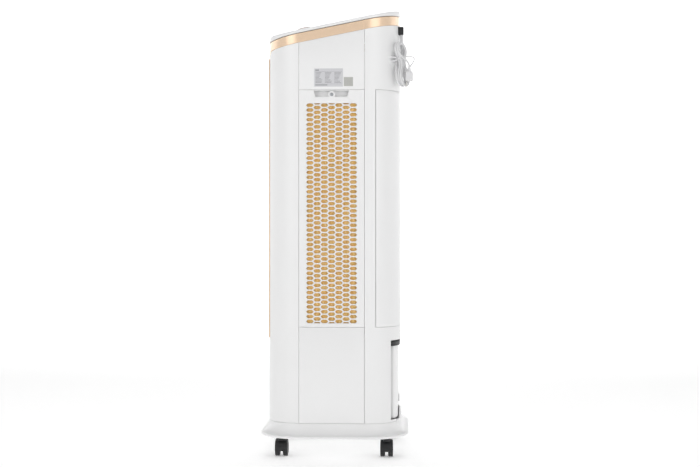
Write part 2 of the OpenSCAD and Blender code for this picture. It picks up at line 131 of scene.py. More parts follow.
def inner_shell():
    """Unseen ducts and tray, plain natural-white polypropylene."""
    mat, tree, shader, where = finish("Off-white polypropylene, moulded", "E3E3E1", 0.5, IOR=1.49)
    grain(tree, shader, where, 0.8, 0.02, 0.4)
    return mat


def champagne():
    """Champagne metallic lacquer: fine flake under a clear coat."""
    mat, tree, shader, where = finish(
        "Champagne metallic lacquer on ABS", "EFD1B2", 0.27,
        Metallic=0.55, IOR=1.5, Coat_Weight=0.8, Coat_Roughness=0.09,
    )
    flake = add(tree, "ShaderNodeTexVoronoi", {"Vector": where, "Scale": per_mm(0.35)})
    values = {"Value": flake.outputs["Distance"], "To Min": 0.23, "To Max": 0.32}
    span = add(tree, "ShaderNodeMapRange", values)
    tree.links.new(span.outputs["Result"], shader.inputs["Roughness"])
    return mat


def black_moulded():
    """Black polypropylene with a fine spark-eroded grain."""
    mat, tree, shader, where = finish("Black polypropylene, spark-eroded grain", "17181A", 0.46, IOR=1.49)
    vary(tree, shader, where, 4.0, 0.4, 0.54)
    grain(tree, shader, where, 0.45, 0.02, 0.6)
    return mat


def wheel_nylon():
    """Black glass-filled nylon; the tread carries floor dust."""
    mat, tree, shader, where = finish("Black nylon, moulded", "191A1C", 0.38, IOR=1.53)
    dust = add(tree, "ShaderNodeTexNoise", {"Vector": where, "Scale": per_mm(5.0), "Detail": 6.0})
    span = add(tree, "ShaderNodeMapRange", {"Value": dust.outputs["Fac"], "From Min": 0.45, "From Max": 0.8})
    tint(tree, shader, span.outputs["Result"], "17181A", "242527")
    grain(tree, shader, where, 0.6, 0.02, 0.5)
    return mat


def cellulose():
    """Resin-stiffened kraft cellulose: golden, mottled by the resin."""
    mat, tree, shader, where = finish("Golden corrugated cellulose pad", "F0C87E", 0.82, IOR=1.45)
    mottle = add(
        tree, "ShaderNodeTexNoise", {"Vector": where, "Scale": per_mm(7.0), "Detail": 5.0, "Roughness": 0.6}
    )
    span = add(tree, "ShaderNodeMapRange", {"Value": mottle.outputs["Fac"], "From Min": 0.3, "From Max": 0.7})
    tint(tree, shader, span.outputs["Result"], "EDBB68", "FFE2A2")
    grain(tree, shader, where, 0.5, 0.05, 0.7)
    shader.inputs["Subsurface Weight"].default_value = 0.08
    shader.inputs["Subsurface Scale"].default_value = 0.002
    return mat


def seal_rubber():
    """Dark grey EPDM seal."""
    mat, tree, shader, where = finish("EPDM rubber, moulded", "36373A", 0.66, IOR=1.5)
    grain(tree, shader, where, 0.5, 0.02, 0.5)
    return mat


def cord_pvc():
    """Flexible pale-grey PVC jacket, slightly glossy where it has rubbed."""
    mat, tree, shader, where = finish("Pale grey flexible PVC, extruded", "E2E2E3", 0.38, IOR=1.53)
    vary(tree, shader, where, 3.0, 0.33, 0.46)
    grain(tree, shader, where, 0.5, 0.01, 0.3)
    return mat


WHITE = white_shell()
INNER = inner_shell()
GOLD = champagne()
KNOB = plain("Pale satin-plated ABS", "D6CCC8", 0.3, 2.5, 0.26, 0.36, Metallic=0.55, IOR=1.5)
BLACK = black_moulded()
NYLON = wheel_nylon()
PAPER = cellulose()
ZINC = plain("Zinc-plated steel", "B4B7BB", 0.32, 3.0, 0.26, 0.42, Metallic=1.0)
TANK = plain(
    "Natural polypropylene, blow moulded", "E4E7E8", 0.36, 12.0, 0.3, 0.42, IOR=1.49, Transmission_Weight=0.25
)
HOSE = plain("Silicone tube, extruded", "DEDEDA", 0.42, 6.0, 0.38, 0.48, IOR=1.41, Transmission_Weight=0.2)
SEAL = seal_rubber()
BUSH = plain("Sintered bronze", "B08A4E", 0.42, 0.6, 0.36, 0.55, Metallic=1.0)
BOARD = plain("Solder-masked circuit board", "174A2C", 0.3, 1.5, 0.26, 0.36, IOR=1.55)
GLASS = plain("Smoked acrylic, polished", "101114", 0.06, 20.0, 0.05, 0.08, IOR=1.49, Coat_Weight=0.3)
LABEL = plain("Silver polyester label", "D6D6D9", 0.38, 0.8, 0.33, 0.45, Metallic=0.15, IOR=1.5)
LABEL_GREY = plain("Grey printed polyester", "BCBCB8", 0.42, 0.8, 0.38, 0.48, Metallic=0.1, IOR=1.5)
INK = plain("Grey printing ink", "6E6E74", 0.55, 0.4, 0.5, 0.6, IOR=1.5)
CORD = cord_pvc()
NICKEL = plain("Nickel-plated brass", "C9C6BE", 0.2, 1.5, 0.16, 0.28, Metallic=1.0)


# ---------------------------------------------------------------- camera, light and floor (metres)
AIM = V((0, 0, 0.6))
FLOOR_R, SWEEP_R, WALL_TOP, STAGE_STEPS = 24.0, 4.0, 8.5, 96


def camera():
    """Level camera on the rating-label side, a little behind the middle of the body."""
    data = bpy.data.cameras.new("camera")
    data.sensor_width = 36.0
    data.lens = 63.8
    data.clip_end = 60.0
    cam = bpy.data.objects.new("camera", data)
    bpy.context.scene.collection.objects.link(cam)
    cam.location = V((3265, 184.3, 563.5)) * MM
    turn = math.radians(2.63)
    cam.rotation_euler = V((-math.cos(turn), -math.sin(turn), 0)).to_track_quat("-Z", "Y").to_euler()
    bpy.context.scene.camera = cam


def softbox(name, azimuth, elevation, distance, size, power):
    """A rectangular diffused lamp aimed at the middle of the object. Azimuth 0 is +X, 90 is +Y."""
    data = bpy.data.lights.new(name, "AREA")
    data.shape = "RECTANGLE"
    data.size, data.size_y = size
    data.energy = power
    lamp = bpy.data.objects.new(name, data)
    bpy.context.scene.collection.objects.link(lamp)
    a, e = math.radians(azimuth), math.radians(elevation)
    away = V((math.cos(a) * math.cos(e), math.sin(a) * math.cos(e), math.sin(e)))
    lamp.location = AIM + away * distance
    lamp.rotation_euler = (-away).to_track_quat("-Z", "Y").to_euler()


def studio():
    """A pale seamless floor that curves up far away all round, and soft light beside the camera."""
    world = bpy.data.worlds.new("studio")
    bpy.context.scene.world = world
    world.use_nodes = True
    sky = world.node_tree.nodes["Background"]
    sky.inputs["Color"].default_value = linear("FFFFFF")
    sky.inputs["Strength"].default_value = 0.29
    softbox("softbox front side", -36, 16, 3.0, (1.3, 2.3), 11)
    softbox("softbox rear side", 31, 16, 3.0, (1.5, 2.3), 12)
    softbox("overhead", 0, 88, 3.2, (3.0, 3.0), 26)
    softbox("backdrop light", 180, 50, 5.0, (4.0, 2.5), 60)

    mat, tree, shader, where = finish("Seamless paper, matt white", "FBFBFB", 0.9)
    shader.inputs["Emission Color"].default_value = linear("FFFFFF")
    axes = add(tree, "ShaderNodeSeparateXYZ", {"Vector": where})
    glow = add(
        tree, "ShaderNodeMapRange",
        {"Value": axes.outputs["X"], "From Min": -1.5, "From Max": -5.5, "To Min": 0.30, "To Max": 0.8},
    )
    tree.links.new(glow.outputs["Result"], shader.inputs["Emission Strength"])
    grain(tree, shader, where, 2.0, 0.02, 0.2)
    sweep = [math.pi / 2 * i / 12 for i in range(1, 13)]
    profile = [(0.5, 0), (6, 0), (12, 0), (FLOOR_R, 0)]
    profile += [(FLOOR_R + SWEEP_R * math.sin(t), SWEEP_R - SWEEP_R * math.cos(t)) for t in sweep]
    profile.append((FLOOR_R + SWEEP_R, WALL_TOP))
    n = STAGE_STEPS
    angles = [2 * math.pi * k / n for k in range(n)]
    verts = [(r * math.cos(a), r * math.sin(a), z) for r, z in profile for a in angles]
    faces = [
        (i * n + k, (i + 1) * n + k, (i + 1) * n + (k + 1) % n, i * n + (k + 1) % n)
        for i in range(len(profile) - 1)
        for k in range(n)
    ]
    faces.append(tuple(range(n)))
    mesh = bpy.data.meshes.new("studio floor")
    mesh.from_pydata(verts, [], faces)
    mesh.materials.append(mat)
    mesh.polygons.foreach_set("use_smooth", [True] * len(faces))
    floor = bpy.data.objects.new("studio floor", mesh)
    bpy.context.scene.collection.objects.link(floor)


camera()
studio()
bpy.context.scene.view_settings.view_transform = "Standard"
bpy.context.scene.view_settings.look = "None"


# ---------------------------------------------------------------- shape tools (millimetres)
def place(obj, mat, body, replaces=(), smooth=35.0):
    """Gives a finished piece its material and body, and hides the CAD nodes it stands for."""
    if obj.name not in bpy.context.scene.collection.objects:
        bpy.context.scene.collection.objects.link(obj)
    obj.data.materials.append(mat)
    if obj.type == "MESH" and smooth:
        obj.data.shade_smooth()
        obj.data.set_sharp_from_angle(angle=math.radians(smooth))
    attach(obj, body)
    if replaces:
        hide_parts(*replaces)
    return obj


def mesh_piece(name, verts, faces, weld=0.0):
    """A mesh from millimetre points; weld joins points closer than that and drops doubled faces."""
    bm = bmesh.new()
    points = [bm.verts.new(V(p) * MM) for p in verts]
    for face in faces:
        if len(set(face)) > 2:
            try:
                bm.faces.new([points[i] for i in face])
            except ValueError:
                continue
    bmesh.ops.delete(bm, geom=[v for v in bm.verts if not v.link_faces], context="VERTS")
    if weld:
        bmesh.ops.remove_doubles(bm, verts=bm.verts, dist=weld * MM)
    bmesh.ops.recalc_face_normals(bm, faces=bm.faces)
    data = bpy.data.meshes.new(name)
    bm.to_mesh(data)
    bm.free()
    return bpy.data.objects.new(name, data)


def soften(obj, width, segments=2, angle=30.0):
    """Rounds the edges sharper than this angle."""
    mod = obj.modifiers.new("rounded edges", "BEVEL")
    mod.width = width * MM
    mod.segments = segments
    mod.limit_method = "ANGLE"
    mod.angle_limit = math.radians(angle)


def loft(name, rings):
    """A capped skin over rings of equal length, each a closed list of points."""
    n = len(rings[0])
    verts = [p for ring in rings for p in ring]
    faces = [
        (i * n + k, i * n + (k + 1) % n, (i + 1) * n + (k + 1) % n, (i + 1) * n + k)
        for i in range(len(rings) - 1)
        for k in range(n)
    ]
    faces += [tuple(range(n - 1, -1, -1)), tuple(range((len(rings) - 1) * n, len(rings) * n))]
    return mesh_piece(name, verts, faces)


def lathe(name, profile, at=(0, 0, 0), turn=None, steps=48):
    """A turned body: profile is (radius, height) along local Z; turn is a rotation matrix."""
    turn = turn or Matrix.Identity(3)
    angles = [2 * math.pi * k / steps for k in range(steps)]
    rings = [[V(at) + turn @ V((r * math.cos(a), r * math.sin(a), h)) for a in angles] for r, h in profile]
    return loft(name, rings)


def slab(name, low, high):
    """A block between two corners, for bevelling."""
    (x0, y0, z0), (x1, y1, z1) = low, high
    rings = [[(x0, y0, z), (x1, y0, z), (x1, y1, z), (x0, y1, z)] for z in (z0, z1)]
    return loft(name, rings)


def joined(name, objects):
    """One piece from several mesh objects, modifiers applied."""
    bm = bmesh.new()
    for o in objects:
        if o.name not in bpy.context.scene.collection.objects:
            bpy.context.scene.collection.objects.link(o)
    bpy.context.view_layer.update()
    graph = bpy.context.evaluated_depsgraph_get()
    for o in objects:
        data = bpy.data.meshes.new_from_object(o.evaluated_get(graph))
        data.transform(o.matrix_world)
        bm.from_mesh(data)
        bpy.data.meshes.remove(data)
    for o in objects:
        bpy.data.objects.remove(o)
    data = bpy.data.meshes.new(name)
    bm.to_mesh(data)
    bm.free()
    return bpy.data.objects.new(name, data)


def bezier(p0, p1, p2, p3, steps):
    """Points on a cubic, both ends included."""
    out = []
    for i in range(steps + 1):
        t = i / steps
        u = 1 - t
        out.append(V(p0) * u**3 + V(p1) * 3 * u * u * t + V(p2) * 3 * u * t * t + V(p3) * t**3)
    return out


def strand(name, points, radius, smooth=4, ring=4):
    """A round strand along points, as a curve of one spline."""
    data = bpy.data.curves.new(name, "CURVE")
    data.dimensions = "3D"
    data.bevel_depth = radius * MM
    data.bevel_resolution = ring
    data.resolution_u = smooth
    data.use_fill_caps = True
    line = data.splines.new("BEZIER")
    line.bezier_points.add(len(points) - 1)
    for b, p in zip(line.bezier_points, points):
        b.co = V(p) * MM
        b.handle_left_type = b.handle_right_type = "AUTO"
    return bpy.data.objects.new(name, data)


# ---------------------------------------------------------------- mains lead, tied in a hank
CORD_R = 2.6
EXIT = (118, 171, 1040)
PLUG = V((168.5, 190, 968))
HANK = (
    Matrix.Translation((153.4, 170.5, 988))
    @ Matrix.Rotation(math.radians(-30), 4, "Z")
    @ Matrix.Rotation(math.radians(7), 4, "X")
)
# half of the straight run, height and reach of the tied waist, how far it draws the strands in
RUN, WAIST, WAIST_REACH, PINCH = 35.5, 2.0, 37.0, 12.6
# each turn: half width, layer, how much its top and bottom bends stand out or in
TURNS = [
    (20.8, -5.2, 0.0, -1.0),
    (15.6, -5.2, 1.5, 4.0),
    (15.6, 0.0, 0.5, 1.5),
    (20.8, 0.0, -0.5, -4.0),
    (20.8, 5.2, -1.5, 0.0),
    (15.6, 5.2, -0.5, 3.0),
]


def pinch(z):
    """How far the tie pulls a strand in at this height."""
    return PINCH * (1 + math.cos(math.pi * min(abs(z - WAIST) / WAIST_REACH, 1))) / 2


def spread(z, top, bottom):
    """Height of a strand's point once the turn's bends stand out or in."""
    return z + top * max(z, 0) / RUN - bottom * max(-z, 0) / RUN


def hank_route():
    """The whole route: from the outlet down to the hank, round its turns, and out of it down to the plug."""
    down = [RUN - 2 * RUN * i / 7 for i in range(1, 7)]
    up = [-z for z in down]
    bends = [math.pi * i / 7 for i in range(8)]
    path = []
    for k, (half, layer, top, bottom) in enumerate(TURNS):
        ahead = TURNS[min(k + 1, len(TURNS) - 1)]
        if k:
            path += [(half - pinch(z), layer, spread(z, top, bottom)) for z in down]
        path += [(half * math.cos(t), layer, -RUN - bottom - half * math.sin(t)) for t in bends]
        path += [(-half + pinch(z), layer, spread(z, top, bottom)) for z in up]
        middle, reach = (ahead[0] - half) / 2, (ahead[0] + half) / 2
        for t in bends:
            w = (1 - math.cos(t)) / 2
            rise = top * (1 - w) + ahead[2] * w
            depth = layer * (1 - w) + ahead[1] * w
            path.append((middle - reach * math.cos(t), depth, RUN + rise + reach * math.sin(t)))
    path = [HANK @ V(p) for p in path]
    first, last = path[0], path[-1]
    lead = bezier(EXIT, V(EXIT) - V((0, 0, 40)), HANK @ V((20.8, -9.5, 4)), first, 9)
    boot = PLUG + V((0, 0, 10))
    tail = bezier(last, last - V((0, 0, 22)), boot + V((0, 0, 22)), boot, 8)
    return lead[:-1] + path + tail[1:]


CORD_NODES = ("cord_lead", "cord_hank", "cord_tail")
cord = place(strand("mains_lead", hank_route(), CORD_R), CORD, "cooler", CORD_NODES)


def ribbed_relief():
    """Tapered bend relief with moulded ribs."""
    rib = ((0, 0), (-0.15, -0.25), (-0.85, -0.4), (-0.85, -1.1), (-0.2, -1.25), (-0.06, -1.5))
    profile = [(0, 26), (4.6, 26)]
    for i in range(7):
        profile += [(4.6 - 0.19 * i + r, 24.0 - 3.2 * i + h) for r, h in rib]
    profile += [(3.3, 1.2), (3.1, 0.3), (2.8, 0), (0, 0)]
    return lathe("strain_relief_ribbed", profile, EXIT, steps=40)


relief = place(ribbed_relief(), CORD, "cooler", ("strain_relief",))


def plug_body():
    """Moulded two-blade plug: rounded body with finger grips and a tapered boot."""
    # depth below the plug's top, half size in X and half size in Y
    sections = [
        (0, 4.4, 6.2), (0.8, 5.6, 7.8), (2.4, 6.3, 9.0), (8, 6.4, 9.4),
        (15, 6.3, 9.3), (21, 6.5, 9.5), (23.4, 6.2, 9.2), (24, 5.6, 8.6),
    ]
    squareness = 4.5
    unit = []
    for k in range(40):
        c, s = math.cos(2 * math.pi * k / 40), math.sin(2 * math.pi * k / 40)
        grow = (abs(c) ** squareness + abs(s) ** squareness) ** (-1 / squareness)
        unit.append((c * grow, s * grow))
    rings = [[PLUG + V((hx * c, hy * s, -drop)) for c, s in unit] for drop, hx, hy in sections]
    body = loft("plug body", rings)
    grips = []
    for side in (-1, 1):
        for i in range(4):
            low = PLUG + V((-3.6, side * 9.0 - 0.55, -8.6 - 3.0 * i))
            grip = slab("grip", low, low + V((7.2, 1.0, 1.1)))
            soften(grip, 0.3)
            grips.append(grip)
    boot = [(0, 12), (2.9, 12), (3.2, 11.4)]
    for i in range(4):
        h, r = 10.4 - 2.4 * i, 3.3 + 0.42 * i
        boot += [(r, h), (r + 0.1, h - 1.1), (r - 0.55, h - 1.3), (r - 0.5, h - 1.9)]
    boot += [(4.9, 0.3), (5.0, -1.5), (0, -1.5)]
    return joined("plug_moulding", [body, *grips, lathe("boot", boot, PLUG, steps=32)])


def plug_blades():
    """Two flat pins with rounded tips."""
    blades = []
    for side in (-1, 1):
        y = PLUG.y + side * 6.35
        profile = [(-3.15, 0), (-3.15, 13.4), (-2.2, 15.6), (2.2, 15.6), (3.15, 13.4), (3.15, 0)]
        rings = [[(PLUG.x + a, y + d, PLUG.z - 23.6 - b) for a, b in profile] for d in (-0.75, 0.75)]
        blade = loft("blade", rings)
        soften(blade, 0.3)
        blades.append(blade)
    return joined("plug_blades", blades)


moulding = place(plug_body(), CORD, "cooler", ("plug",))
blades = place(plug_blades(), NICKEL, "cooler")


def waist_ring(middle_y, z, wide, deep, lift, steps=26):
    """An oval round the waist of the hank, a little more than one full turn."""
    out = []
    for i in range(steps + 4):
        t = 2 * math.pi * i / steps
        out.append(HANK @ V((wide * math.cos(t), middle_y + deep * math.sin(t), z + lift * i / steps)))
    return out


def loose_end(name, start, first, second, steps, radius):
    """Two cubics in a row, their control points given from the start."""
    halves = [bezier(*[start + V(p) for p in half], steps) for half in (first, second)]
    return strand(name, halves[0] + halves[1][1:], radius, 3, 3)


def tie():
    """A soft tie round the waist with its knot, one short ear and one thin loop left standing."""
    start, knot = V((157.5, 163.0, 1001)), V((163, 170, 1000))
    band = strand("tie band", waist_ring(-1.2, 8.5, 14.6, 12.4, 3.2), 1.3, 3, 3)
    ear = loose_end(
        "tie ear", start,
        ((0, 0, 0), (6, -6, 3), (4, -22, 6), (1, -27, 1)),
        ((1, -27, 1), (0, -30, -4), (2, -16, -8), (3, -4, -4)), 6, 2.0,
    )
    loop = loose_end(
        "tie loop", knot,
        ((0, 0, 0), (4, 8, 6), (2, 27, 8), (0, 32, 1)),
        ((0, 32, 1), (0, 34, -6), (2, 22, -22), (2, 9, -33)), 7, 1.8,
    )
    profile = [(0, -3.2), (2.4, -2.6), (3.4, -1), (3.5, 1), (2.5, 2.7), (0, 3.3)]
    lump = lathe("tie knot", profile, start + V((2.5, 1.5, -1)), steps=24)
    return joined("cord_tie", [band, ear, loop, lump])


tie_piece = place(tie(), CORD, "cooler")


# ---------------------------------------------------------------- body outline and shells
# The plan is a rectangle with round corners. CX, CY are the corners' centres, ARC a corner's length, TOTAL the
# length all round and BACK the arc length at the middle of the rear.
HALF_W, HALF_D, CORNER, WALL = 187.0, 166.5, 85.0, 3.0
CX, CY = HALF_W - CORNER, HALF_D - CORNER
ARC = CORNER * math.pi / 2
TOTAL = 4 * ARC + 4 * CX + 4 * CY
BACK = CY + ARC + CX
SLOPE = math.tan(math.radians(11.1))
BAND_TOP, BAND_H = 1078.8, 23.0
FILTER_LOW, FILTER_HIGH, FILTER_Y = 330.7, 921.0, -2.95
BODY_LOW, BODY_DROP = 91.4, 23.3
TRIM_LOW, TRIM_OUT, TRIM_IN, FLARE_TOP = 298.8, 124.5, 105.0, 1008
TANK_SEAM, COVER_SEAM = 144, 106.1
CORNERS = ((CX, CY, 2 * CX), (-CX, CY, 2 * CY), (-CX, -CY, 2 * CX), (CX, -CY, CY))


def outline(s, inset=0.0):
    """Point of the plan at arc length s from the middle of the right side, counter-clockwise, moved in."""
    s %= TOTAL
    r = CORNER - inset
    if s <= CY:
        return V((HALF_W - inset, s))
    s -= CY
    for i, (x, y, flat) in enumerate(CORNERS):
        start = i * math.pi / 2
        if s <= ARC:
            a = start + s / CORNER
            return V((x + r * math.cos(a), y + r * math.sin(a)))
        s -= ARC
        if s <= flat + 1e-6:
            a = start + math.pi / 2
            return V((x + r * math.cos(a) - s * math.sin(a), y + r * math.sin(a) + s * math.cos(a)))
        s -= flat
    return V((HALF_W - inset, 0))


def rim(drop):
    """Height of a line parallel to the sloping top edge."""
    return lambda p: BAND_TOP + SLOPE * p.y - drop


def side_s(y):
    """Arc length where the right side or its rear corner is at this Y."""
    return y if y <= CY else CY + CORNER * math.asin((y - CY) / CORNER)


def back_s(x):
    """Arc length where the rear right corner is at this X."""
    return CY + CORNER * math.acos((x - CX) / CORNER)


def stations(first, last, extra=()):
    """Arc lengths from first to last: every bend in fine steps, and the extra marks."""
    marks = {round(first, 3), round(last, 3)}
    bends = (CY, CY + ARC + 2 * CX, CY + 2 * ARC + 2 * CX + 2 * CY, CY + 3 * ARC + 4 * CX + 2 * CY)
    for lap in range(-1, 2):
        for start in bends:
            steps = [lap * TOTAL + start + ARC * k / 24 for k in range(25)]
            marks |= {round(s, 3) for s in steps if first < s < last}
    marks |= {round(e, 3) for e in extra if first < e < last}
    out = []
    for s in sorted(marks):
        if not out or s - out[-1] > 0.05:
            out.append(s)
    return out


def sheet(name, marks, levels, hole=lambda p, k: False, inset=0.0, wall=WALL, edge=0.5):
    """Wall along the outline: a grid of stations and levels, cells left out where hole says.

    A level is a height, or a function of the plan point; hole takes the cell's plan point and level number.
    """
    plan = [outline(s, inset) for s in marks]
    deep = [outline(s, inset + wall) for s in marks]
    heights = [[level(p) if callable(level) else level for level in levels] for p in plan]
    verts = [(p.x, p.y, z) for side in (plan, deep) for p, column in zip(side, heights) for z in column]
    n, m = len(levels), len(marks)
    solid = {}
    for i in range(m - 1):
        middle = outline((marks[i] + marks[i + 1]) / 2, inset)
        for k in range(n - 1):
            tall = max(heights[i][k + 1] - heights[i][k], heights[i + 1][k + 1] - heights[i + 1][k]) > 0.02
            solid[i, k] = tall and not hole(middle, k)
    closed = abs(marks[-1] - marks[0] - TOTAL) < 0.1
    back = n * m
    faces = []
    for (i, k), filled in solid.items():
        if not filled:
            continue
        a, b, c, d = i * n + k, (i + 1) * n + k, (i + 1) * n + k + 1, i * n + k + 1
        faces += [(a, b, c, d), (a + back, d + back, c + back, b + back)]
        left = (m - 2 if closed and i == 0 else i - 1, k)
        right = (0 if closed and i == m - 2 else i + 1, k)
        if not solid.get(left):
            faces.append((a, d, d + back, a + back))
        if not solid.get(right):
            faces.append((c, b, b + back, c + back))
        if not solid.get((i, k - 1)):
            faces.append((b, a, a + back, b + back))
        if not solid.get((i, k + 1)):
            faces.append((d, c, c + back, d + back))
    obj = mesh_piece(name, verts, faces, weld=0.02)
    soften(obj, edge, 2)
    return obj


def flare(p):
    """Lower edge of the trim where it spreads under the band."""
    wide, rise = 27.0, 17
    reach = min(max(abs(p.x) - TRIM_OUT, 0.0), wide)
    return FLARE_TOP + rise * math.sqrt(max(0.0, 1 - ((wide - reach) / wide) ** 2))


FRONT_MIDDLE = TOTAL - BACK


def front_marks(*xs):
    """Arc lengths of these distances either side of the middle of the front."""
    out = []
    for x in xs:
        reach = x if x <= CX else CX + CORNER * math.asin((x - CX) / CORNER)
        out += [FRONT_MIDDLE - reach, FRONT_MIDDLE + reach]
    return out


FLARE_X = [TRIM_OUT, 125.2, 127, 130, 134, 139, 145, 151.5]
FRONT_GAP = 3.65  # from the start of the front bend back to the seam with the side panel
front_shell = sheet(
    "front_shell_moulding",
    stations(3 * CY + 2 * ARC + 2 * CX + FRONT_GAP, TOTAL - CY - FRONT_GAP, front_marks(*FLARE_X)),
    [
        BODY_LOW, 298, FLARE_TOP,
        lambda p: min(flare(p), rim(BODY_DROP)(p)) if abs(p.x) < 151.4 else rim(BODY_DROP)(p),
    ],
    lambda p, k: abs(p.x) < TRIM_OUT and k > 0,
)
place(front_shell, WHITE, "cooler", ("front_shell",))
front_trim = sheet(
    "front_trim_frame",
    stations(*front_marks(151.3), front_marks(TRIM_IN, *[x - 0.3 for x in FLARE_X])),
    [TRIM_LOW, 306, lambda p: 1010 if abs(p.x) < 124.1 else max(1010, flare(p) + 0.6), rim(23.1)],
    lambda p, k: (abs(p.x) > 124.2 and k < 2) or (abs(p.x) < TRIM_IN and k == 1),
)
trim_lip = sheet(
    "trim lip",
    stations(*front_marks(123.9), front_marks(TRIM_IN + 0.3)),
    [TRIM_LOW + 0.4, 305.6, 1007],
    lambda p, k: abs(p.x) < TRIM_IN + 0.3 and k == 1,
    inset=-2.4,
    edge=0.6,
)
front_trim = joined("front_trim_frame", [front_trim, trim_lip])
place(front_trim, GOLD, "cooler", ("front_trim",))
top_band = sheet("top_band_ring", stations(0, TOTAL), [rim(BAND_H), rim(0)], edge=0.9)
place(top_band, GOLD, "cooler", ("top_band",))

REAR_MARKS = [side_s(COVER_SEAM), side_s(TANK_SEAM), back_s(139), back_s(130.3), back_s(105.7), BACK - 100]


def both_sides(marks):
    """These arc lengths and their mirror images across the middle of the rear."""
    return marks + [2 * BACK - s for s in marks]


def below_band(z):
    """This height, or the shell's upper edge where that is lower."""
    return lambda p: min(z, rim(BODY_DROP)(p))


def rear_hole(p, k):
    """Openings of the rear shell: the tank with its finger gap, the rear filter cover and the cord outlet."""
    if k == 0:
        return abs(p.x) < 139 and p.y > TANK_SEAM
    if k == 1:
        return p.y > TANK_SEAM
    if k == 2:
        return abs(p.x) < 100 and p.y > TANK_SEAM
    if k == 4:
        return p.y > COVER_SEAM
    return k == 6 and 105.7 < p.x < 130.3


rear_shell = sheet(
    "rear_shell_moulding",
    stations(*both_sides([79.25]), both_sides(REAR_MARKS)),
    [BODY_LOW, 97.2, 296, 310, 330.1, 921.6, below_band(1065.7), below_band(1085.9), rim(BODY_DROP)],
    rear_hole,
)
place(rear_shell, WHITE, "cooler", ("rear_shell",))


def side_panel(name, sign):
    """Flat side moulding with the bay for the filter and the frame behind it."""
    below = sheet("below", [-84.6, -81.5, -40, 0, 40, 78.45], [BODY_LOW, 330.1])
    above = sheet("above", [-84.65, -81.5, -40, 0, 40, 78.7], [921.5, rim(BODY_DROP)])
    bars = [
        slab("bar", (151, -84.3, 320.7), (184.1, 78.4, 330.1)),
        slab("bar", (151, -84.3, 921.6), (184.1, 78.4, 924)),
        slab("bar", (151, -84.3, 330), (183.9, -80.4, 921.7)),
        slab("bar", (151, 74.5, 330), (183.9, 78.4, 921.7)),
    ]
    for bar in bars:
        soften(bar, 0.5)
    return mirrored(joined(name, [below, above, *bars]), sign)


def mirrored(obj, sign):
    """The same piece for the left side when sign is -1."""
    if sign < 0:
        obj.data.transform(Matrix.Scale(-1, 4, V((1, 0, 0))))
        obj.data.flip_normals()
    return obj


SIDES = ((1, "right"), (-1, "left"))
for sign, side in SIDES:
    panel = side_panel(f"side_panel_{side}_moulding", sign)
    place(panel, WHITE, "cooler", (f"side_panel_{side}",))


# ---------------------------------------------------------------- top cover
def crown(x):
    """How far the lid's arched top stands over its lower edge."""
    return 8.0 + 11.0 * (1 - (x / HALF_W) ** 2)


def top_cover():
    """Crowned lid with a rolled edge, standing on a thin shadow gap over the band."""
    marks = stations(0, TOTAL)[:-1]
    # inset, rise, share of the crown
    edge = [
        (4.0, 0.0, 0.0), (0.5, 0.0, 0.0), (0.0, 0.5, 0.0), (0.0, -3.4, 1.0),
        (0.35, -1.9, 1.0), (1.2, -0.85, 1.0), (2.6, -0.2, 1.0), (4.6, 0.0, 1.0),
    ]
    rows = [([outline(s, inset) for s in marks], rise, on_crown) for inset, rise, on_crown in edge]
    for share in (0.93, 0.86, 0.77, 0.66, 0.54, 0.42, 0.3, 0.18, 0.07, 0.01):
        rows.append(([outline(s, 4.6) * share for s in marks], 0.0, 1.0))
    low = BAND_TOP + 1.5
    rings = [
        [(p.x, p.y, low + SLOPE * p.y + rise + on_crown * crown(p.x)) for p in row]
        for row, rise, on_crown in rows
    ]
    return loft("top_cover_moulding", rings)


place(top_cover(), WHITE, "cooler", ("top_cover",), smooth=40)


# ---------------------------------------------------------------- base
STEMS = [(sx * 140, sy * 133) for sy in (-1, 1) for sx in (1, -1)]


def base_plate():
    """Spreading foot with a rounded rim and a concave sweep, floor, tank rails and caster bosses."""
    marks = stations(0, TOTAL)[:-1]
    profile = [
        (60, 54), (-15.5, 54), (-18.6, 54.35), (-20.4, 55.4), (-21, 57), (-21, 59.2), (-20.5, 60.6),
        (-19.2, 61.4), (-16.6, 61.9), (-13.4, 63.2), (-10.2, 65.4), (-7.4, 68.4), (-5.1, 72.2), (-3.2, 76.8),
        (-1.7, 82), (-0.7, 87), (-0.1, 90.4), (0.5, 91), (3.4, 91), (4, 90.4), (4, 60), (5, 59), (60, 59),
    ]
    rings = [[(*outline(s, inset), z) for s in marks] for inset, z in profile]
    parts = [loft("foot", rings)]
    for sign in (1, -1):
        x0, x1 = sorted((sign * 95, sign * 105))
        parts.append(slab("rail", (x0, -115, 58.8), (x1, 140, 97.6)))
    boss = [(7, 82), (10.2, 82), (11, 81.2), (11, 58.8), (7, 58.8), (7, 82)]
    parts += [lathe("boss", boss, (x, y, 0), steps=40) for x, y in STEMS]
    for part in parts[1:]:
        soften(part, 0.6)
    lip = sheet("upstand", stations(*both_sides([back_s(138)])), [80, 95.5], inset=-2, wall=5, edge=0.9)
    return joined("base_plate_moulding", parts + [lip])


place(base_plate(), WHITE, "cooler", ("base_plate",), smooth=40)


# ---------------------------------------------------------------- side grilles and pads
COLUMNS, COLUMN_PITCH, ROWS, ROW_PITCH, FIRST_ROW = 7, 18.0, 46, 11.95, 345.0
POCKET = (-47.5, 40.3, 903.5, 919.2)
BOSS = (-2.8, 909.2)
FACE = HALF_W - WALL


def rounded(points, radius, steps=3):
    """Polygon with its corners rounded off."""
    out = []
    n = len(points)
    for i in range(n):
        a, b, c = V(points[i - 1]), V(points[i]), V(points[(i + 1) % n])
        into, away = (b - a).normalized(), (c - b).normalized()
        cut = min(radius, (b - a).length * 0.45, (c - b).length * 0.45)
        p, q = b - into * cut, b + away * cut
        for k in range(steps + 1):
            t = k / steps
            out.append(p * (1 - t) ** 2 + b * 2 * t * (1 - t) + q * t * t)
    return out


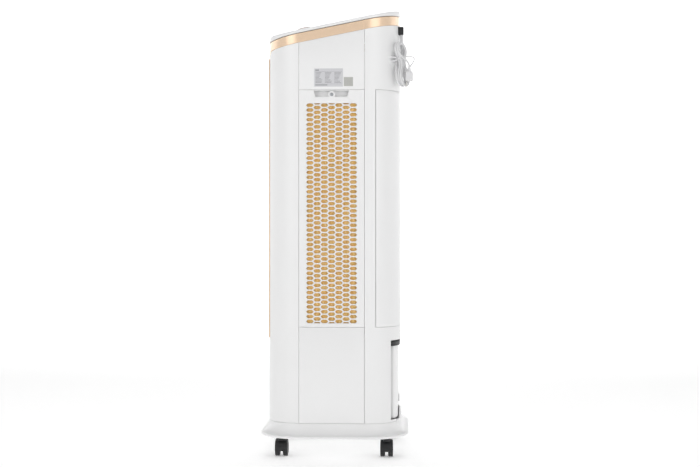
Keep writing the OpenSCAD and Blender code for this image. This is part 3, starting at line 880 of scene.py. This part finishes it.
def comb_cell(y, z, low=-9.0, high=9.0):
    """One flattened honeycomb hole, cut off at low and high from its middle."""
    tip, flat, half = 9.5, 5.4, 4.45
    top, bottom = min(half, high), max(-half, low)

    def reach(h):
        return tip - (tip - flat) * abs(h) / half

    points = [(reach(bottom), bottom), (-reach(bottom), bottom), (-reach(top), top), (reach(top), top)]
    if bottom < 0 < top:
        points = [*points[:2], (-tip, 0), *points[2:], (tip, 0)]
    return rounded([(y + a, z + b) for a, b in points], 0.8)


def plate(name, loops, depth, edge):
    """Flat plate with holes in the YZ plane, its outer face on X = 0, edges rounded."""
    data = bpy.data.curves.new(name, "CURVE")
    data.dimensions = "2D"
    data.fill_mode = "BOTH"
    data.extrude = (depth / 2 - edge) * MM
    data.bevel_depth = edge * MM
    data.bevel_resolution = 1
    data.offset = -edge * MM
    for loop in loops:
        line = data.splines.new("POLY")
        line.points.add(len(loop) - 1)
        line.use_cyclic_u = True
        for point, p in zip(line.points, loop):
            point.co = (p[0] * MM, p[1] * MM, 0, 1)
    obj = bpy.data.objects.new(name, data)
    bpy.context.scene.collection.objects.link(obj)
    bpy.context.view_layer.update()
    mesh = bpy.data.meshes.new_from_object(obj.evaluated_get(bpy.context.evaluated_depsgraph_get()))
    bpy.data.objects.remove(obj)
    turn = Matrix(((0, 0, 1, -depth / 2 * MM), (1, 0, 0, 0), (0, 1, 0, 0), (0, 0, 0, 1)))
    mesh.transform(turn)
    bm = bmesh.new()
    bm.from_mesh(mesh)
    bmesh.ops.remove_doubles(bm, verts=bm.verts, dist=0.005 * MM)
    bmesh.ops.recalc_face_normals(bm, faces=bm.faces)
    bm.to_mesh(mesh)
    bm.free()
    return bpy.data.objects.new(name, mesh)


def grille(sign, side):
    """Filter frame: honeycomb face, finger recess with its screw boss, and the tray that holds the pad."""
    y0, y1 = FILTER_Y - 81.5, FILTER_Y + 81.5
    loops = [rounded([(y0, FILTER_LOW), (y1, FILTER_LOW), (y1, FILTER_HIGH), (y0, FILTER_HIGH)], 1.2)]
    for c in range(COLUMNS):
        y = FILTER_Y + (c - 3) * COLUMN_PITCH
        if c % 2 == 0:
            loops += [comb_cell(y, FIRST_ROW + r * ROW_PITCH) for r in range(ROWS)]
        else:
            middles = [FIRST_ROW + (r + 0.5) * ROW_PITCH for r in range(-1, ROWS)]
            loops.append(comb_cell(y, middles[0], low=1.2))
            loops += [comb_cell(y, z) for z in middles[1:-1]]
            loops.append(comb_cell(y, middles[-1], high=-1.2))
    a, b, low, high = POCKET
    loops.append(rounded([(a, high), (a + 4, low), (b - 4, low), (b, high)], 2.0))
    face = plate("grille face", loops, WALL, 0.45)
    face.location.x = HALF_W * MM
    near, far, floor, roof = y0 + 5.5, y1 - 5.5, 332.7, 902
    back, foot, head = FACE - 14, low - 1.5, high + 1.3
    bars = [
        slab("tray", (FACE - 26, near, floor), (FACE, near + 1.3, roof)),
        slab("tray", (FACE - 26, far - 1.3, floor), (FACE, far, roof)),
        slab("tray", (FACE - 26, near, floor), (FACE, far, floor + 1.3)),
        slab("tray", (FACE - 26, near, roof - 1.5), (FACE, far, roof)),
        slab("recess", (back, a - 1.5, foot), (back + 1.5, b + 1.5, head)),
        slab("recess", (back, a - 1.5, foot), (FACE + 1, b + 1.5, low)),
        slab("recess", (back, a - 1.5, high), (FACE + 1, b + 1.5, head)),
        slab("recess", (back, a - 1.5, foot), (FACE, a, head)),
        slab("recess", (back, b, foot), (FACE, b + 1.5, head)),
    ]
    for bar in bars:
        soften(bar, 0.25)
    out = V((1, 0, 0)).to_track_quat("Z", "Y").to_matrix()
    profile = [(0, 0), (9, 0), (9, 15.5), (8.6, 16.0), (7.9, 16.15), (5.6, 16.15), (5.2, 15.7), (0, 15.7)]
    boss = lathe("boss", profile, (FACE - 13, *BOSS), out, 48)
    return mirrored(joined(f"side_grille_{side}_moulding", [face, boss, *bars]), sign)


def corrugated(name, y_range, z_range, x_front, x_back):
    """Stack of wavy cellulose sheets seen edge on, flutes crossing at an angle, over a plain core."""
    pitch, wave, swing, depth, half = 7.0, 14.0, 2.6, 5.0, 0.22
    (y0, y1), (z0, z1) = y_range, z_range
    verts, faces = [], []
    count = int((y1 - y0 - 5.0) / pitch)
    first = (y0 + y1) / 2 - (count - 1) * pitch / 2
    steps = int((z1 - z0) / wave * 8)
    for k in range(count):
        lean = 0.9 if k % 2 else -0.9
        start = len(verts)
        for i in range(steps + 1):
            z = z0 + (z1 - z0) * i / steps
            for side in (-half, half):
                for back in (0.0, depth):
                    y = first + k * pitch + swing * math.sin(2 * math.pi * (z + lean * back) / wave) + side
                    verts.append((x_front - back, y, z))
        for i in range(steps):
            a, b = start + 4 * i, start + 4 * i + 4
            faces += [(a, b, b + 2, a + 2), (a, a + 1, b + 1, b), (a + 2, b + 2, b + 3, a + 3)]
    core = slab("core", (x_back, y0, z0), (x_front - depth + 3.0, y1, z1))
    soften(core, 0.8)
    return joined(name, [mesh_piece(name, verts, faces), core])


for sign, side in SIDES:
    body = f"{side}_filter"
    place(grille(sign, side), WHITE, body, (f"side_grille_{side}",), smooth=30)
    span = (FILTER_Y - 74.2, FILTER_Y + 74.2)
    pad = corrugated(f"side_pad_{side}_sheets", span, (334.6, 899.7), HALF_W - 4.1, HALF_W - 28.5)
    place(mirrored(pad, sign), PAPER, body, (f"side_pad_{side}",), smooth=50)


def cross_screw(name, at, out, radius=4.4, rise=1.5):
    """Pan-head screw with a cross recess."""
    turn = V(out).to_track_quat("Z", "Y").to_matrix()
    head = [
        (0, -9), (1.9, -9), (1.9, 0), (radius, 0), (radius, rise * 0.35),
        (radius * 0.93, rise * 0.75), (radius * 0.7, rise), (0, rise),
    ]
    body = lathe("head", head, at, turn, 40)
    slots = []
    for k in range(2):
        a = math.pi / 2 * k
        ring = [(2.6, 0.5), (-2.6, 0.5), (-2.6, -0.5), (2.6, -0.5)]
        spun = [(x * math.cos(a) - y * math.sin(a), x * math.sin(a) + y * math.cos(a)) for x, y in ring]
        rings = [[V(at) + turn @ V((x, y, z)) for x, y in spun] for z in (rise * 0.45, rise + 0.4)]
        slots.append(loft("slot", rings))
    for o in [body, *slots]:
        bpy.context.scene.collection.objects.link(o)
    for slot in slots:
        cut = body.modifiers.new("cut", "BOOLEAN")
        cut.object = slot
        cut.solver = "EXACT"
    made = joined(name, [body])
    for slot in slots:
        bpy.data.objects.remove(slot)
    return made


for sign, side in SIDES:
    at = (sign * (HALF_W - 0.3), *BOSS)
    screw = cross_screw(f"grille_screw_{side}_pan", at, (sign, 0, 0))
    place(screw, ZINC, f"{side}_filter", (f"grille_screw_{side}",))


# ---------------------------------------------------------------- rear cover and pad
def rear_cover():
    """Wrap-round filter cover with a recessed field of fine slots."""
    columns, pitch, rows, step, half_wide, half_high = 5, 38, 34, 16.8, 16, 4
    marks = stations(*both_sides([side_s(COVER_SEAM + 1.2)]), [BACK - 99, BACK + 99])
    levels = [FILTER_LOW, 340.7, 911, FILTER_HIGH]
    wings = sheet("rear cover", marks, levels, lambda p, k: k == 1 and abs(p.x) < 99)
    loops = [[(-100, 339.7), (100, 339.7), (100, 912), (-100, 912)]]
    for c in range(columns):
        for r in range(rows):
            x0, x1 = (c - 2) * pitch - half_wide, (c - 2) * pitch + half_wide
            z0, z1 = FILTER_LOW + 20 + r * step - half_high, FILTER_LOW + 20 + r * step + half_high
            loops.append(rounded([(x0, z0), (x1, z0), (x1, z1), (x0, z1)], 3.2))
    field = plate("slots", loops, WALL - 0.4, 0.4)
    field.data.transform(Matrix.Rotation(math.pi / 2, 4, "Z"))
    field.location.y = (HALF_D - 0.4) * MM
    return joined("rear_cover_moulding", [wings, field])


place(rear_cover(), WHITE, "rear_filter", ("rear_cover",), smooth=30)
back_pad = corrugated("rear_pad_sheets", (-111.9, 111.9), (336.8, 914.9), 158.9, 131.1)
back_pad.data.transform(Matrix.Rotation(math.pi / 2, 4, "Z"))
place(back_pad, PAPER, "rear_filter", ("rear_pad",), smooth=50)


# ---------------------------------------------------------------- casters
WHEEL_R, TRAIL = 20.0, 12.0
SIDEWAYS = Matrix.Rotation(-math.pi / 2, 3, "X")


def caster_hood(name, x, y):
    """Forked hood of a twin-wheel caster: rounded shell over both wheels, middle web, neck and stem."""
    half = [(21.6, 15.8), (22.3, 15.6), (23.1, 14.4), (23.8, 12), (24.2, 8.5)]
    inner = [(21.2, 15.2), (21.2, 3.4), (20.9, 3.1), (6.5, 3.1)]
    profile = [(r, -w) for r, w in half] + half[::-1] + inner + [(r, -w) for r, w in inner[::-1]]
    centre = (x - TRAIL, y, WHEEL_R)
    rings = []
    for i in range(33):
        a = math.radians(-11 + 202 * i / 32)
        rings.append([(x - TRAIL + r * math.cos(a), y + w, WHEEL_R + r * math.sin(a)) for r, w in profile])
    shell = loft("hood", rings)
    soften(shell, 0.5)
    disc = [(3.1, -3), (8.6, -3), (9, -2.6), (9, 2.6), (8.6, 3), (3.1, 3), (3.1, -3)]
    stem = [
        (5.5, 40), (9, 40), (9, 50), (8.4, 51), (7.4, 51.5),
        (5.5, 51.5), (5.5, 74.8), (4.8, 75), (0, 75), (0, 40),
    ]
    parts = [shell, lathe("web", disc, centre, SIDEWAYS, 32), lathe("neck", stem, (x, y, 0), steps=36)]
    return joined(name, parts)


def wheel_pair(name, x, y):
    """Two moulded wheels with a grooved tread and a dished hub, on one axle."""
    centre = (x - TRAIL, y, WHEEL_R)
    axle = [(0, -16.4), (2.6, -16.4), (3, -16), (3, 16), (2.6, 16.4), (0, 16.4)]
    wheel = [
        (2, 3.7), (16.5, 3.7), (18.6, 4.3), (19.6, 5.3), (20, 6.6), (20, 9.9), (19.6, 10.2), (19.6, 11.2),
        (20, 11.5), (20, 14.4), (19.7, 15.4), (18.8, 15.9), (16.8, 16.2), (14.6, 16.1), (13.8, 15.4),
        (12.6, 14.8), (6.8, 14.4), (6.2, 15.2), (5.4, 15.6), (2, 15.6),
    ]
    parts = [lathe("axle", axle, centre, SIDEWAYS, 24)]
    for sign in (-1, 1):
        parts.append(lathe("wheel", [(r, sign * w) for r, w in wheel], centre, SIDEWAYS, 56))
    return joined(name, parts)


for i, (x, y) in enumerate(STEMS, 1):
    hood, pair = f"caster_{i}", f"wheels_{i}"
    place(caster_hood(hood + "_hood", x, y), BLACK, hood, (hood,), smooth=40)
    place(wheel_pair(pair + "_pair", x, y), NYLON, pair, (pair,), smooth=40)


# ---------------------------------------------------------------- control knob
KNOB_Y = -79.0
TILT = Matrix.Rotation(math.radians(11.1), 3, "X")


def knob():
    """Turned knob with a fluted grip, a rolled shoulder and a raised pointer."""
    at = V((0, KNOB_Y, BAND_TOP + SLOPE * KNOB_Y))
    # height, radius, share of the flutes' depth
    sections = [
        (-6, 3, 0), (20.6, 3, 0), (20.6, 17.0, 0), (20.9, 17.7, 0), (22.0, 18, 0), (23.6, 18, 0),
        (24.4, 17.6, 0.5), (25.2, 17.55, 1), (39.2, 17.3, 1), (40.2, 17.3, 0.4), (41.2, 17.4, 0),
        (42.2, 17.0, 0), (42.8, 16.0, 0), (42.9, 14.4, 0), (42.5, 13.6, 0), (42.3, 2, 0),
    ]
    rings = []
    for h, r, flute in sections:
        ring = []
        for k in range(144):
            a = 2 * math.pi * k / 144
            depth = 0.45 * flute * (0.5 + 0.5 * math.cos(36 * a))
            ring.append(at + TILT @ V(((r - depth) * math.cos(a), (r - depth) * math.sin(a), h)))
        rings.append(ring)
    body = loft("knob", rings)
    rings = []
    for h, grow in ((42.2, 0.0), (42.6, 0.0), (42.85, -0.25)):
        wide, near, far = 0.9 + grow, 6 - grow, 15.5 + grow
        ring = rounded([(-wide, near), (-wide, far), (wide, far), (wide, near)], 0.6)
        rings.append([at + TILT @ V((p[0], -p[1], h)) for p in ring])
    return joined("mode_knob_turned", [body, loft("pointer", rings)])


place(knob(), KNOB, "mode_knob", ("mode_knob",), smooth=50)


# ---------------------------------------------------------------- rating label
def flat_patch(name, y0, y1, z0, z1, rise, radius=1.0):
    """Thin printed patch on the right side, rounded corners."""
    ring = rounded([(y0, z0), (y1, z0), (y1, z1), (y0, z1)], radius)
    rings = [[(HALF_W + lift, p[0], p[1]) for p in ring] for lift in (0.0, rise)]
    return loft(name, rings)


def label_print():
    """Generic rating layout: a heading bar, a rule, short rows in columns and a ruled foot. No letters."""
    y0, z1 = -46.0, 973.8
    bars = [(2.5, 3.0, 9.0, 2.0), (1.5, 7.2, 68.0, 0.35), (1.5, 38.4, 68.0, 0.35), (2.5, 40.4, 30.0, 1.3)]
    lengths = (15, 11, 17, 13, 9, 16, 12, 14)
    for row in range(9):
        for column in range(3):
            share = lengths[(row * 3 + column * 5) % 8]
            bars.append((3.0 + 23.5 * column, 9.6 + 3.1 * row, share, 0.75))
    patches = []
    for y, z, wide, tall in bars:
        patches.append(flat_patch("bar", y0 + y, y0 + y + wide, z1 - z - tall, z1 - z, 0.27, 0.1))
    return joined("label_print", patches)


label = flat_patch("rating_label", -46, 25.4, 928.6, 973.8, 0.22)
place(label, LABEL, "cooler", ("side_labels",))
place(flat_patch("grey_patch", 27.4, 50.3, 929.6, 952, 0.22, 0.6), LABEL_GREY, "cooler")
place(label_print(), INK, "cooler", smooth=0)


# ---------------------------------------------------------------- tank, handle and plug of the tank
def tank_ring(inset, z):
    """Outline of the tank at one height: the body's plan cut off at the sides and the front."""
    reach, front = 141 - inset, -112 + inset
    ring = [V((reach, front))]
    points = [outline(s, 6 + inset) for s in stations(*both_sides([side_s(82)]))]
    kept = [p for p in points if abs(p.x) < reach - 0.01]
    radius = CORNER - 6 - inset
    edge = CY + math.sqrt(radius**2 - (reach - CX) ** 2)
    ring += [V((reach, edge)), *kept, V((-reach, edge)), V((-reach, front))]
    return [(p.x, p.y, z) for p in ring]


def water_tank():
    """Open tray-like tank with a rounded foot and a rolled top rim."""
    profile = [
        (3, 98), (1.2, 98.5), (0.3, 99.6), (0, 101), (0, 278.5), (0.3, 280.2), (0.9, 280.8),
        (2.1, 280.8), (2.8, 280.2), (3, 279), (3, 102.5), (3.6, 101.3), (5, 101),
    ]
    body = loft("tank", [tank_ring(inset, z) for inset, z in profile])
    soften(body, 2.0, 3, 60)
    return joined("water_tank_moulding", [body])


place(water_tank(), WHITE, "tank", ("water_tank",), smooth=40)
grip_marks = stations(*both_sides([side_s(TANK_SEAM + 0.5)]))
handle = sheet("tank_handle_grip", grip_marks, [281.2, 292.8], inset=0.6, wall=9.2, edge=2.2)
handle.modifiers["rounded edges"].segments = 3
place(handle, BLACK, "tank", ("tank_handle",))
drain = [
    (0, 0), (8, 0), (8, 4.2), (10.2, 4.2), (11, 5), (11, 7), (10.2, 7.8), (3.4, 7.8), (3.0, 7.2), (0, 7.2),
]
backward = V((0, 1, 0)).to_track_quat("Z", "Y").to_matrix()
drain_cap = lathe("drain_plug_cap", drain, (-100, 156.5, 120), backward, 40)
place(drain_cap, WHITE, "tank", ("drain_plug",))


# ---------------------------------------------------------------- cord outlet and shell screws
def cord_outlet():
    """Hooded black clip that turns the lead down out of the rear corner."""
    hood = slab("hood", (106.2, 150.2, 1066.1), (129.8, 175.9, 1085.8))
    soften(hood, 2.2, 3)
    profile = [(0, 3), (6.4, 3), (6.4, 0.5), (6.0, 0.05), (0, 0.05)]
    collar = lathe("collar", profile, (118, 169.4, 1066.0), steps=32)
    return joined("cord_outlet_hood", [hood, collar])


place(cord_outlet(), BLACK, "cooler", ("cord_outlet",))
spots = [(x, HALF_D, z) for x in (-86, 86) for z in (948, 1040)]
screws = [cross_screw("screw", spot, (0, 1, 0), 4.0, 1.2) for spot in spots]
place(joined("shell_screws_pan", screws), ZINC, "cooler", ("shell_screws",))


# ---------------------------------------------------------------- finishes of the CAD parts
FINISHES = {
    "white_abs": WHITE, "champagne_paint": GOLD, "black_plastic": BLACK, "wheel_nylon": NYLON,
    "honeycomb_paper": PAPER, "zinc_steel": ZINC, "inner_plastic": INNER, "clear_pp": TANK,
    "hose_silicone": HOSE, "seal_rubber": SEAL, "bush_brass": BUSH, "circuit_board": BOARD,
    "dark_window": GLASS, "label_foil": LABEL, "cord_pvc": CORD,
}
SLOT_OF = {part["node"]: part["material_slot"] for part in frame["record"]["subparts"]}
for name, node in frame["nodes"].items():
    node.data.materials.clear()
    node.data.materials.append(FINISHES[SLOT_OF[name]])
